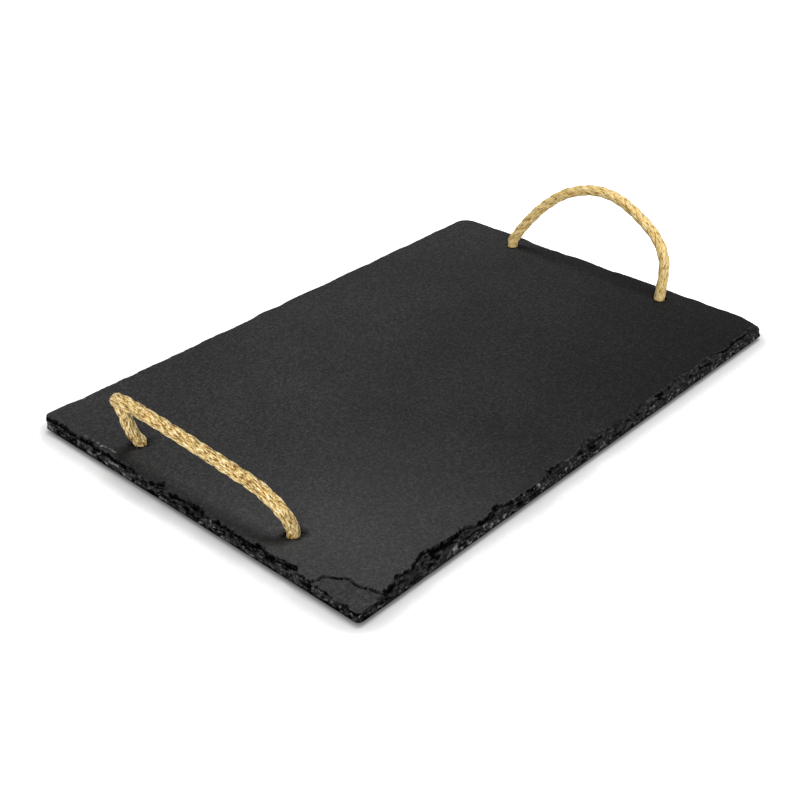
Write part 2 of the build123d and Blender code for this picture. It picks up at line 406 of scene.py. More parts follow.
def lattice_value(cells, seed):
    """A repeatable value from 0 to 1 for each whole-number cell."""
    mixed = np.full(cells.shape[:-1], seed * 7919 + 17, dtype=np.uint64)
    for axis, factor in zip(range(cells.shape[-1]), (73856093, 19349663, 83492791)):
        mixed = mixed ^ (cells[..., axis].astype(np.int64).astype(np.uint64) * np.uint64(factor))
        mixed = (mixed ^ (mixed >> np.uint64(13))) * np.uint64(1274126177)
    return ((mixed ^ (mixed >> np.uint64(16))) & np.uint64(0xFFFFFF)).astype(float) / 0xFFFFFF


def noise(points, layer, seed_shift=0):
    """Smooth noise: values on a lattice of the layer's cells, eased between their corners, and spread from
    the layer's lowest value to its highest."""
    cell, seed, *spread = noise_layers[layer]
    low, high = spread or (0, 1)
    scaled = np.asarray(points, float) / cell
    base = np.floor(scaled)
    part = scaled - base
    ease = part * part * (3 - 2 * part)
    total = np.zeros(scaled.shape[:-1])
    for corner in itertools.product((0, 1), repeat=scaled.shape[-1]):
        weight = np.prod(np.where(corner, ease, 1 - ease), axis=-1)
        total += weight * lattice_value(base + corner, seed + seed_shift)
    return low + (high - low) * total


def smooth_step(value, low, high):
    """0 below low, 1 above high, eased between them."""
    share = np.clip((value - low) / (high - low), 0, 1)
    return share * share * (3 - 2 * share)


def patches(points, layer, seed_shift=0):
    """Patches of a noise layer: 0 below its lower level, 1 above its upper one, eased between them."""
    return smooth_step(noise(points, layer, seed_shift), *patch_levels[layer])


def eased(value, knots):
    """A value read off (place, height) knots, eased from each to the next."""
    places, heights = np.array(knots, float).T
    index = np.clip(np.searchsorted(places, value) - 1, 0, len(places) - 2)
    share = smooth_step(value, places[index], places[index + 1])
    return heights[index] + share * (heights[index + 1] - heights[index])


def segment_distance(points, start, end):
    """How far each point lies from the straight line between two ends."""
    span = np.subtract(end, start)
    share = np.clip((points - start) @ span / (span @ span), 0, 1)[:, None]
    return np.linalg.norm(points - start - share * span, axis=1)


def spokes(turn, first, second):
    """Directions turned by an angle from the first of two square directions towards the second."""
    return np.cos(turn)[..., None] * first + np.sin(turn)[..., None] * second


def grid_faces(rows, columns):
    """Quads of a grid stored row by row, whose last column joins the first."""
    left = np.arange(columns)
    right = np.roll(left, -1)
    row = np.arange(rows - 1)[:, None] * columns
    next_row = row + columns
    return np.stack([row + left, row + right, next_row + right, next_row + left], -1).reshape(-1, 4)


def make_piece(name, parts, material, smooth=True):
    """A mesh object at the origin from parts, each of points in millimetres, face index arrays and point
    attributes; a part's faces number its own points."""
    first_numbers = np.cumsum([0] + [len(points) for points, _, _ in parts])
    faces = [
        face for (_, blocks, _), first in zip(parts, first_numbers)
        for block in blocks for face in (block + first).tolist()
    ]
    mesh = bpy.data.meshes.new(name)
    mesh.from_pydata((np.vstack([points for points, _, _ in parts]) * MM).tolist(), [], faces)
    for label in parts[0][2]:
        values = np.concatenate([attributes[label] for _, _, attributes in parts])
        vector = values.ndim == 2
        layer = mesh.attributes.new(label, "FLOAT_VECTOR" if vector else "FLOAT", "POINT")
        layer.data.foreach_set("vector" if vector else "value", values.astype(np.float32).ravel())
    mesh.polygons.foreach_set("use_smooth", np.full(len(mesh.polygons), smooth))
    mesh.materials.append(material)
    mesh.update()
    piece = bpy.data.objects.new(name, mesh)
    bpy.context.scene.collection.objects.link(piece)
    return piece


def sisal_rope(end):
    """Sisal, combed and laid: pale straw fibres with a dull lustre, with painted shade down between the
    yarns.
    """
    material, add = new_material(f"{end}_sisal_rope")
    fibre = add("Attribute", "Vector", settings={"attribute_name": "fibre"})
    groove = add("Attribute", "Fac", settings={"attribute_name": "groove"})
    # Bundles of fibres some 3 mm long and 0.7 mm wide, drawn that coarse so that they show, and specks of
    # dark leaf skin left among them, some 2 mm long and 0.6 mm wide. The attribute is in millimetres.
    streak, speck = [
        add("TexNoise", "Fac", {
            "Vector": add("Mapping", "Vector", {
                "Vector": fibre, "Scale": (1 / length, 1 / width, 1 / width), "Location": shift}),
            "Scale": 1.0, "Detail": detail, "Roughness": roughness})
        for length, width, shift, detail, roughness in (
            (3.0303, 0.71429, (0, 0, 0), 4.0, 0.7), (2.2222, 0.58824, (31, 7, 3), 2.0, 0.6))
    ]
    colour = add("ValToRGB", "Color", {"Fac": streak}, stops=straw_colours[end])
    bark = [(0.59, "#ffffff"), (0.7, "#6b471a")]
    # Painted shade darkens the grooves between strands and between yarns.
    shade = [(0.0, "#ffffff"), (1.0, "#6a4519"), (0.45, "#e6cf9e")]
    for value, stops in ((speck, bark), (groove, shade)):
        tint = add("ValToRGB", "Color", {"Fac": value}, stops=stops)
        colour = add("Mix", MIXED, {FACTOR: 1.0, FIRST: colour, SECOND: tint}, MULTIPLY)
    bump = add("Bump", "Normal", {"Height": streak, "Strength": 0.9, "Distance": 0.4 * MM})
    shader = add("BsdfPrincipled", "BSDF", {
        "Base Color": colour, "Roughness": 0.6, "Normal": bump, "Specular IOR Level": 0.35,
        "Sheen Weight": 0.12, "Sheen Roughness": 0.4})
    add("OutputMaterial", inputs={"Surface": shader})
    return material


def route_points(end):
    """Control points of one rope: up its left hole, along its leaning loop and down its right hole."""
    left, right = hole_places[f"{end}_left"], hole_places[f"{end}_right"]
    starts = {"left": left[1], "middle": (left[1] + right[1]) / 2, "right": right[1]}
    lean = handle_leans[end]
    points = [(*left, slab_top_z + height) for height in hole_point_heights]
    for near, offsets in rope_routes[end].items():
        for across, up, *bulge in offsets:
            out = sum(bulge)
            x = left[0] + outward[end] * (math.sin(lean) * up + math.cos(lean) * out)
            z = hinge_z + math.cos(lean) * up - math.sin(lean) * out
            points.append((x, starts[near] + across, z))
    points += [(*right, slab_top_z + height) for height in reversed(hole_point_heights)]
    return np.array(points)


def rope_line(end):
    """Close points on the NURBS curve that the route steers, from knot to knot, in millimetres."""
    points = route_points(end)
    curve = bpy.data.curves.new(f"{end}_rope_line", "CURVE")
    curve.dimensions = "3D"
    curve.resolution_u = rope_resolution
    spline = curve.splines.new("NURBS")
    spline.points.add(len(points) - 1)
    spline.points.foreach_set("co", np.c_[points, np.ones(len(points))].ravel())
    spline.order_u = 3
    spline.use_endpoint_u = True
    holder = bpy.data.objects.new(curve.name, curve)
    mesh = bpy.data.meshes.new_from_object(holder)
    line = np.empty(len(mesh.vertices) * 3)
    mesh.vertices.foreach_get("co", line)
    bpy.data.objects.remove(holder)
    bpy.data.meshes.remove(mesh)
    bpy.data.curves.remove(curve)
    return line.reshape(-1, 3)


def line_frame(line, reference):
    """Run length along a line, its tangent, and two directions square to it, the first near reference."""
    steps = np.linalg.norm(np.diff(line, axis=0), axis=1)
    run = np.concatenate([[0], np.cumsum(steps)])
    tangent = np.gradient(line, run, axis=0)
    tangent /= np.linalg.norm(tangent, axis=1, keepdims=True)
    first = reference - tangent * np.sum(tangent * reference, axis=1, keepdims=True)
    first /= np.linalg.norm(first, axis=1, keepdims=True)
    return run, tangent, first, np.cross(tangent, first)


def three_strand_radius(angle):
    """Distance from a rope's axis to the outside of the nearest of three overlapping strands."""
    third = FULL_TURN / 3
    near = (angle + third / 2) % third - third / 2
    return strand_offset * np.cos(near) + np.sqrt(strand_radius**2 - (strand_offset * np.sin(near)) ** 2)


def closed_tube(line, offset):
    """Points and faces of a tube: a ring of offsets round each point of a line, joined row by row, with a
    point on the line that closes each end."""
    rows, ring = offset.shape[:2]
    points = np.vstack([(line[:, None] + offset).reshape(-1, 3), line[:1], line[-1:]])
    first_ring = np.arange(ring)
    last_ring = first_ring + (rows - 1) * ring
    tips = rows * ring + np.array([0, 1])
    caps = [
        np.stack([np.full(ring, tips[0]), first_ring, np.roll(first_ring, -1)], -1)[:, ::-1],
        np.stack([np.full(ring, tips[1]), last_ring, np.roll(last_ring, -1)], -1),
    ]
    return points, [grid_faces(rows, ring)[:, ::-1], *caps]


def rope_skin(end, line):
    """A ring of the three strands' outline at each point of the line, turned once in each lay, with rounded
    yarns, lumps and wisps standing on it. At a fold no point passes the centre of the bend. Its painted shade
    darkens the lines between strands, worn off here and there, and between yarns, and the wisps' hollows."""
    lean = handle_leans[end]
    normal = np.array([math.cos(lean), 0, -outward[end] * math.sin(lean)])
    run, tangent, first, second = line_frame(line, normal)
    twist = FULL_TURN * run / rope_lay
    place = np.arange(rope_ring) * FULL_TURN / rope_ring
    turned = place[None, :] + twist[:, None]
    yarns = place[None, :] + yarn_follow * twist[:, None]
    along = np.broadcast_to(run[:, None], turned.shape)
    fibre = np.stack([along, rope_radius * np.cos(yarns), rope_radius * np.sin(yarns)], -1)
    seed = ends.index(end) + 1
    ridge = np.abs(np.cos(yarn_count / 2 * (yarns + noise(fibre, "yarn_sway", seed))))
    wisps = noise(fibre, "rope_wisps", seed)
    outline = strand_swell * three_strand_radius(place)
    radius = outline[None, :] + yarn_height * (ridge - 1) + wisp_height * wisps
    radius += noise(fibre, "rope_lumps", seed)
    offset = radius[..., None] * spokes(turned, first[:, None], second[:, None])
    bend = np.gradient(tangent, run, axis=0)
    sharpness = np.maximum(np.linalg.norm(bend, axis=1), 1e-9)[:, None]
    towards = np.einsum("rci,ri->rc", offset, bend / sharpness)
    held = np.minimum(towards, fold_share / sharpness)
    offset += (held - towards)[..., None] * (bend / sharpness)[:, None]
    depth = (outline.max() - outline) / (outline.max() - outline.min())
    worn = patches(fibre, "strand_wear", seed)
    groove = strand_groove_shade * depth[None, :] ** 4 * worn + yarn_groove_shade * (1 - ridge) ** 3
    groove = np.clip(groove - wisp_light * wisps, 0, 1)
    fibre = np.vstack([fibre.reshape(-1, 3), (run[0], 0, 0), (run[-1], 0, 0)])
    return *closed_tube(line, offset), {"fibre": fibre, "groove": np.append(groove.ravel(), [0, 0])}


def rope_hairs(end, line):
    """Loose fibres: thin three-sided tubes that leave the skin along the rope and lift off as the square of
    the way along them. Those that would stand far off at a fold are left out."""
    draw = np.random.default_rng(hair_seed + ends.index(end))
    _, tangent, first, second = line_frame(line, np.array([1.0, 0, 0.3]))
    root = draw.choice(np.flatnonzero(line[:, 2] > slab_top_z + hair_clearance), hair_count)
    lift_way = spokes(draw.uniform(0, FULL_TURN, hair_count), first[root], second[root])
    side_way = np.cross(tangent[root], lift_way)
    length = draw.choice([-1, 1], hair_count) * draw.uniform(*hair_lengths, hair_count)
    lift = draw.uniform(*hair_lifts, hair_count)
    sway = draw.uniform(-1, 1, hair_count)
    share = np.linspace(0, 1, hair_points)[None, :, None]
    path = (
        line[root][:, None] + (rope_radius - hair_root) * lift_way[:, None]
        + share * (length[:, None] * tangent[root])[:, None]
        + share**2 * (lift[:, None] * lift_way + sway[:, None] * side_way)[:, None]
    )
    gaps = np.linalg.norm(path[:, -1, None] - line[None, ::4], axis=2).min(axis=1)
    near = gaps < rope_radius + hair_reach
    path, lift_way, side_way = [part[near] for part in (path, lift_way, side_way)]
    spoke = spokes(np.arange(3) * FULL_TURN / 3, lift_way[:, None], side_way[:, None])
    taper = hair_radius * (1 - hair_taper * share)[..., None]
    points = (path[:, :, None] + taper * spoke[:, None]).reshape(-1, 3)
    size = 3 * hair_points
    number = np.arange(len(path))[:, None, None] * size
    faces = (number + grid_faces(hair_points, 3)[None]).reshape(-1, 4)
    tips = (number + np.array([[0, 1, 2], [size - 1, size - 2, size - 3]])[None]).reshape(-1, 3)
    return points, [faces, tips], {"fibre": points, "groove": np.zeros(len(points))}


def make_rope(end, material):
    """One rope from knot to knot, which follows the board in its holes and the handle above them."""
    line = rope_line(end)
    rope = make_piece(f"{end}_rope", [rope_skin(end, line), rope_hairs(end, line)], material)
    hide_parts(f"{end}_handle_loop", f"{end}_left_rope_leg", f"{end}_right_rope_leg")
    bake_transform(rope)
    return rope


def knot_strand(place, start):
    """One strand of a wall knot: it comes down out of the rope, swings round at the knot's width on the
    upper layer, dips under the next strand and turns in to a cut end below the middle."""
    share = np.linspace(0, 1, knot_steps)
    swung_out, swing_in = swing_shares
    swing = smooth_step(share, 0, swung_out) * (1 - smooth_step(share, swing_in, 1))
    reach = strand_root + (knot_reach - knot_strand_radius - strand_root) * swing
    upper = recess_top_z - knot_strand_radius - knot_gap
    lower = knot_low[2] + knot_strand_radius + knot_gap
    height = recess_top_z + (upper - recess_top_z) * smooth_step(share, 0, drop_share)
    height += (lower - upper) * smooth_step(share, *dip_shares)
    turn = start + knot_sweep * share
    line = np.column_stack([place[0] + reach * np.cos(turn), place[1] + reach * np.sin(turn), height])
    run, _, first, second = line_frame(line, np.array([0, 0, 1.0]))
    corner = np.arange(knot_ring) * FULL_TURN / knot_ring
    turned = corner[None, :] + FULL_TURN * run[:, None] / strand_lay
    ridge = np.abs(np.cos(strand_yarns / 2 * corner))[None, :]
    cut_length, cut_size = cut_shares
    thickness = cut_size + (1 - cut_size) * smooth_step(np.minimum(share, 1 - share), 0, cut_length)
    radius = thickness[:, None] * (knot_strand_radius + strand_yarn_height * (ridge - 1))
    offset = radius[..., None] * spokes(turned, first[:, None], second[:, None])
    along = np.broadcast_to(run[:, None], turned.shape)
    wrapped = fibre_wrap * np.stack([np.cos(turned), np.sin(turned)], -1)
    fibre = np.concatenate([(along + fibre_shift * start)[..., None], wrapped], -1).reshape(-1, 3)
    fibre = np.vstack([fibre, fibre[:1], fibre[-1:]])
    groove = np.broadcast_to(knot_groove_shade * (1 - ridge) ** 2, turned.shape)
    groove = np.append(groove, [cut_groove, cut_groove])
    return *closed_tube(line, offset), {"fibre": fibre, "groove": groove}


def make_knot(name, material):
    """The three strands of a rope's end, tied under the slab in a flat wall knot."""
    turns = [number * FULL_TURN / 3 + knot_turns[name] for number in range(3)]
    strands = [knot_strand(hole_places[name], turn) for turn in turns]
    knot = make_piece(f"{name}_wall_knot", strands, material)
    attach(knot, "board")
    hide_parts(f"{name}_knot")
    return knot


# The slab's outline as a run: corners, each side's direction, its way in, and where it starts on the run.
slab_half = (slab_high - slab_low)[:2] / 2
slab_corners = np.array([(-1, -1), (1, -1), (1, 1), (-1, 1)]) * slab_half
side_directions = np.array([(1, 0), (0, 1), (-1, 0), (0, -1)], float)
side_inward = np.array([(0, 1), (-1, 0), (0, -1), (1, 0)], float)
side_lengths = np.tile(2 * slab_half, 2)
arc_lengths = math.pi / 2 * corner_radii
straight_lengths = side_lengths - corner_radii - np.roll(corner_radii, -1)
side_starts = np.concatenate([[0], np.cumsum(arc_lengths + straight_lengths)])
outline_run = side_starts[-1]


def outline_place(points):
    """Where along the slab's rounded outline each point is nearest to it, and how far in it lies."""
    from_corner = points[:, None, :] - slab_corners[None]
    along_side = np.einsum("nkc,kc->nk", from_corner, side_directions)
    depth = np.einsum("nkc,kc->nk", from_corner, side_inward)
    side = np.argmin(depth, axis=1)
    own = (np.arange(len(points)), side)
    past_arc = np.clip(along_side[own] - corner_radii[side], 0, straight_lengths[side])
    along = side_starts[side] + arc_lengths[side] + past_arc
    inset = depth[own]
    for number, radius in enumerate(corner_radii):
        inside = (along_side[:, number] < radius) & (depth[:, number] < radius)
        centre = slab_corners[number] + radius * (side_inward[number] + side_directions[number])
        away = points[inside] - centre
        angle = np.arctan2(away @ -side_inward[number], away @ -side_inward[number - 1])
        inset[inside] = radius - np.hypot(away[:, 0], away[:, 1])
        along[inside] = side_starts[number] + radius * np.clip(angle, 0, math.pi / 2)
    return along, inset


def outline_ring(inset, radii):
    """Points round the outline, set in and with its corners rounded, each with its way in."""
    places, ways = [], []
    for number, name in enumerate(edge_names):
        before, here, after = number - 1, number, (number + 1) % 4
        corner = slab_corners[here] + inset * (side_inward[here] + side_inward[before])
        centre = corner + radii[here] * (side_inward[here] + side_inward[before])
        turn = np.linspace(0, math.pi / 2, arc_samples[here], endpoint=False)
        way = spokes(turn, side_inward[before], side_inward[here])
        places.append(centre - radii[here] * way)
        ways.append(way)
        next_corner = slab_corners[after] + inset * (side_inward[after] + side_inward[here])
        start = corner + radii[here] * side_directions[here]
        end = next_corner - radii[after] * side_directions[here]
        share = np.linspace(0, 1, side_samples[name], endpoint=False)[:, None]
        places.append(start + share * (end - start))
        ways.append(np.broadcast_to(side_inward[here], (side_samples[name], 2)))
    return np.vstack(places), np.vstack(ways)


def side_run(name):
    """The run along the outline at which one side's square corner would lie."""
    number = edge_names.index(name)
    return side_starts[number] + arc_lengths[number] - corner_radii[number]


def outline_run_at(name, place):
    """The run along the outline of a place given by its X or Y on one side."""
    number = edge_names.index(name)
    axis = int(np.flatnonzero(side_directions[number])[0])
    return side_run(name) + (place - slab_corners[number][axis]) * side_directions[number][axis]


def small_chips():
    """Every smaller chip: (run along the outline, half length, reach, step, slope, how much deeper one end
    is)."""
    draw = np.random.default_rng(chip_seed)
    made = []
    for name, style in dressing.items():
        length = side_lengths[edge_names.index(name)]
        count = int(length / style["spacing"])
        share = (np.arange(count) + draw.uniform(0, 1, count)) / count
        ranges = [draw.uniform(*style[key], count) for key in ("half", "reach", "step", "slope")]
        made += list(zip(side_run(name) + length * share, *ranges, draw.uniform(*chip_tilts, count)))
    return made


chips = small_chips()
rim_knots = np.array([
    (outline_run_at(name, place), inset, step)
    for name, rim in dressed_rims.items() for place, inset, step in rim
])
bed_draw = np.random.default_rng(bed_seed)
bed_depths = np.concatenate([[0], np.cumsum(bed_draw.uniform(*bed_thickness, bed_count))])


def within_beds(share):
    """Every bed's depth, and the depth that share of the way down to the next bed."""
    return np.sort(np.concatenate([bed_depths[:-1], bed_depths[:-1] + share * np.diff(bed_depths)]))


# A bed breaks in a tread over three quarters of the way, which falls a sixth of the bed where it is stepped
# and more where it is faceted, and a steep riser.
tread_knots, step_drops, facet_drops = [within_beds(share) for share in (0.75, 0.17, 0.6)]


def bedded(drop, warp, drops):
    """A drop broken along the beds, whose depth sways by warp."""
    return np.interp(drop + warp, tread_knots, drops) - np.interp(warp, tread_knots, drops)


def inside_ring(points, ring):
    """Which points lie in a closed ring: a ray from each along +X crosses it an odd number of times."""
    inside = np.zeros(len(points), bool)
    for (x0, y0), (x1, y1) in zip(ring, np.roll(ring, -1, axis=0)):
        crosses = (y0 > points[:, 1]) != (y1 > points[:, 1])
        level = x0 + (points[:, 1] - y0) * (x1 - x0) / (y1 - y0 if y1 != y0 else 1)
        inside ^= crosses & (points[:, 0] < level)
    return inside


def flake_drop(points):
    """The lost corner flake: a step down inside its wandering rim, and a floor that slopes away from it."""
    warp = np.stack([noise(points, "flake_warp_x"), noise(points, "flake_warp_y")], -1)
    place = points + warp - slab_corners[0]
    rim = np.array(flake_rim)
    beyond = [(rim[-1, 0], -flake_outside), (-flake_outside, -flake_outside), (-flake_outside, rim[0, 1])]
    inside = inside_ring(place, np.vstack([rim, beyond]))
    nearest = np.min([segment_distance(place, start, end) for start, end in zip(rim, rim[1:])], axis=0)
    fall = flake_depth * smooth_step(nearest, 0, flake_step_width) + flake_slope * nearest
    return np.where(inside, fall, 0)


def front_share(points):
    """1 along the front end and round its right corner, easing to 0 further in."""
    away = points - slab_corners[0]
    return 1 - np.minimum(
        smooth_step(away[:, 0], *front_reach), smooth_step(away.sum(axis=1), *corner_reach))


def clefts(points, drop, inset):
    """Clefts in the broken stone, cut in and darkened with painted shade: along the front hollows, long and
    low, where noise over the way along the edge, the fall from the top and the way in passes a level;
    elsewhere strokes that slant across the break, in patches, where slower noise passes through its middle."""
    along = points[:, 0] - points[:, 1]
    place = np.stack([along, hollow_crowding[0] * drop, hollow_crowding[1] * inset], -1)
    mixed = noise(place, "hollows") + noise(place, "hollow_fret")
    level = hollow_level + hollow_rarity * (1 - front_share(points))
    slanted = (along + stroke_slant * inset) / stroke_length
    slant = np.stack([slanted, stroke_crowding[0] * drop, stroke_crowding[1] * inset], -1)
    stroke = 1 - smooth_step(np.abs(noise(slant, "strokes")), *stroke_widths)
    stroke *= patches(place, "stroke_patches")
    return np.maximum(smooth_step(mixed, level, level + hollow_edge), stroke_depth * stroke)


def break_fall(past_rim, step, slope):
    """Fall of a break: none outside its rim, a step within the rim's width, and a slope on from there."""
    return np.where(past_rim > 0, step * smooth_step(past_rim, 0, rim_width) + slope * past_rim, 0)


def edge_breaks(points, along, inset):
    """How far the dressed edge falls at each point, the deepest of its rim's slope and the chips, and how
    dark the painted line of shade is that follows its rim, which thins, swells and, along the front, comes
    and goes."""
    front = front_share(points)
    fret, steepness, first_step, full_step = [
        elsewhere + front * (there - elsewhere)
        for elsewhere, there in (rim_frets, rim_slopes, line_first_steps, line_full_steps)
    ]
    place = along + noise(points, "rim_along")
    depth = inset + noise(points, "rim_inset") + fret * noise(points, "rim_fret")
    runs, insets, steps = rim_knots.T
    past_rim = np.interp(place, runs, insets, period=outline_run) - depth
    step = np.interp(place, runs, steps, period=outline_run)
    deepest = break_fall(past_rim, step, steepness * noise(points, "rim_slope"))
    line_width = noise(points, "rim_shade_line")
    rim_shade_line = smooth_step(past_rim, *line_start)
    rim_shade_line *= 1 - smooth_step(past_rim, line_width / 2, line_width)
    rim_shade_line *= smooth_step(step, first_step, full_step)
    rim_shade_line *= 1 - line_gap * front * (1 - patches(points, "rim_gaps"))
    for centre, half, reach, step, slope, tilt in chips:
        away = (place - centre + outline_run / 2) % outline_run - outline_run / 2
        hit = np.flatnonzero(np.abs(away) < half)
        share = away[hit] / half
        past_rim = reach * np.minimum(1, 2 * (1 - np.abs(share))) * (1 + tilt * share) - depth[hit]
        deepest[hit] = np.maximum(deepest[hit], break_fall(past_rim, step, slope))
    return deepest, rim_shade_line


def top_height(points):
    """Height of the slab's top at each point, how broken it is there and how deep in a cleft. The cleft face
    rises and falls gently. Below it lies the deepest of the edge's breaks and the lost flake, held to a most,
    broken along the beds into treads and risers, and rough where it is broken."""
    along, inset = outline_place(points)
    drop = flake_drop(points)
    broken = flake_broken * smooth_step(drop, *broken_drops)
    near = np.flatnonzero(inset < band_width)
    deepest, rim_shade_line = edge_breaks(points[near], along[near], inset[near])
    broken[near] = np.maximum(broken[near], smooth_step(deepest, *broken_drops))
    drop[near] = np.maximum(drop[near], deepest)
    cleft = clefts(points, drop, inset) * smooth_step(broken, *cleft_breaks)
    # The rim's dark line of painted shade joins the clefts and is cut in with them.
    cleft[near] = np.maximum(cleft[near], rim_shade_line)
    drop = drop / (1 + (drop / most_drop) ** 4) ** 0.25
    warp = noise(points, "bed_warp") + noise(points, "bed_fret")
    faceted = bedded(drop, warp, facet_drops)
    stepped = bedded(drop, warp, step_drops)
    terraced = faceted + front_share(points) * (stepped - faceted) + top_cleft_depth * cleft
    rough = noise(points, "break_rough") + noise(points, "break_grit")
    fall = np.maximum(terraced + broken * rough, 0) * smooth_step(drop, *broken_drops)
    face = slab_top_z + noise(points, "face_swell") + noise(points, "face_ripple")
    return face - fall, broken, cleft


def break_marks(points, heights):
    """Steepness and edge of the broken top: the fall to four points a third of a millimetre away."""
    reach = 0.33
    around = [top_height(points + reach * np.array(way))[0] for way in ((1, 0), (-1, 0), (0, 1), (0, -1))]
    slope = np.hypot(around[0] - around[1], around[2] - around[3]) / (2 * reach)
    crest = (heights - sum(around) / 4) / reach
    return slope, crest


def scuff_share(points):
    """How much each point is scuffed: 1 on the line of a scuff, broken up, down to 0 past its width."""
    most = np.zeros(len(points))
    for start, end, half_width, paleness in scuffs:
        away = segment_distance(points, np.array(start), np.array(end))
        most = np.maximum(most, paleness * (1 - smooth_step(away, *scuff_fade * half_width)))
    return most * patches(points, "scuff_breaks")


def fill_flat(outer, holes, extra):
    """Triangles that fill a flat outline round its holes, through the extra points."""
    rings = [outer, *holes]
    edges, first = [], 0
    for ring in rings:
        number = np.arange(len(ring))
        edges.append(np.stack([first + number, first + (number + 1) % len(ring)], -1))
        first += len(ring)
    corners = [Vector(point) for point in np.vstack([*rings, extra])]
    inside_outline, least_gap = 1, 1e-6
    result = delaunay_2d_cdt(corners, np.vstack(edges).tolist(), [], inside_outline, least_gap)
    flat, faces = np.array([list(vertex) for vertex in result[0]]), np.array(result[2])
    middle = flat[faces].mean(axis=1)
    kept = np.ones(len(faces), bool)
    for hole in holes:
        kept &= ~inside_ring(middle, hole)
    return flat, faces[kept]


def scatter(spacing, low, high, seed):
    """A grid of points between two corners, each nudged by up to a third of the spacing."""
    counts = np.maximum(((high - low) / spacing).astype(int), 1)
    grid = np.stack(np.meshgrid(*[np.arange(count) for count in counts], indexing="ij"), -1).reshape(-1, 2)
    nudge = np.random.default_rng(seed).uniform(-0.33, 0.33, grid.shape)
    return low + (grid + 0.5 + nudge) * (high - low) / counts


def clear_of_holes(points, reach):
    """The points that lie further than reach from every rope hole's middle."""
    for centre in hole_places.values():
        points = points[np.linalg.norm(points - centre, axis=1) > reach]
    return points


def circle(centre, radius):
    """A ring round a hole, of one radius or of one for each point."""
    turn = np.arange(hole_ring) * FULL_TURN / hole_ring
    return centre + np.broadcast_to(radius, hole_ring)[:, None] * np.stack([np.cos(turn), np.sin(turn)], -1)


def hole_mouth(name):
    """The spalled rim of a drilled hole on the top face: noise read round a 3 mm circle of its own."""
    round_place = circle(10 * hole_places[name], 3)
    return circle(hole_places[name], hole_radius + noise(round_place, "hole_spall"))


def slab_rim(outer, ways):
    """The slab's top edge: its outline set in by the waves and nicks of its dressing. The right side and the
    front end were dressed roughly, the other two only trimmed."""
    steps = np.linalg.norm(np.diff(np.vstack([outer, outer[:1]]), axis=0), axis=1)
    turn = FULL_TURN * np.concatenate([[0], np.cumsum(steps)[:-1]]) / outline_run
    # Read round a circle as long as the outline, noise meets itself after one round.
    lap = outline_run / FULL_TURN * np.stack([np.cos(turn), np.sin(turn)], -1)
    dressed = noise(lap, "dressed_wave") + noise(lap, "dressed_nicks")
    dressed *= 1 - calm_share * smooth_step(outer[:, 1], slab_half[1] - calm_run, slab_half[1])
    left, rear = eased(outer[:, 0], trim_waves["left"]), eased(outer[:, 1], trim_waves["rear"])
    trimmed = np.abs(ways[:, 1]) * left + np.abs(ways[:, 0]) * rear
    trimmed = np.maximum(trimmed + noise(lap, "trimmed_wave") + noise(lap, "trimmed_nicks"), 0)
    dressed_share = np.clip(ways.sum(axis=1), 0, 1)
    return outer + ways * (trimmed + dressed_share * (dressed - trimmed))[:, None]


def slab_top(rim, mouths):
    """The top: a fine band in from the edge and, inside it, the face, finer at the lost flake. Steep places
    and hollows of a break are darkened with painted shade, its crests and scuffs pale."""
    inner, _ = outline_ring(band_width, inner_radii)
    share = (np.arange(band_rows) / (band_rows - 1)) ** band_crowding
    band = (rim[None] + share[:, None, None] * (inner - rim)[None]).reshape(-1, 2)
    half = slab_half - band_width - face_margin
    field = scatter(face_spacing, -half, half, scatter_seeds["face"])
    corner = slab_corners[0]
    in_flake = np.all(field < corner + flake_reach + flake_face_gap, axis=1)
    flake_start = corner + band_width + flake_band_gap
    flake_field = scatter(flake_spacing, flake_start, corner + flake_reach, scatter_seeds["flake"])
    extra = clear_of_holes(np.vstack([field[~in_flake], flake_field]), hole_radius + hole_margin)
    face, triangles = fill_flat(inner, list(mouths.values()), extra)
    flat = np.vstack([band, face])
    heights, broken, cleft = top_height(flat)
    slope, crest = break_marks(flat, heights)
    points = np.column_stack([flat, heights])
    steep, hollow, pale = [
        share * smooth_step(value, low, high)
        for value, (share, low, high) in ((slope, steep_painted_shade), (-crest, hollow_painted_shade), (crest, crest_mark))
    ]
    # Painted shade: steep places, hollows, clefts and, away from the front, the rest of a break are darkened.
    painted_shade = np.max([steep, hollow, cleft, break_shade * (1 - front_share(flat)) * broken], axis=0)
    bruise = np.maximum(pale, scuff_share(points))
    faces = [grid_faces(band_rows, len(rim)), triangles + len(band)]
    return points, faces, {"broken": broken, "painted_shade": painted_shade, "bruise": bruise}


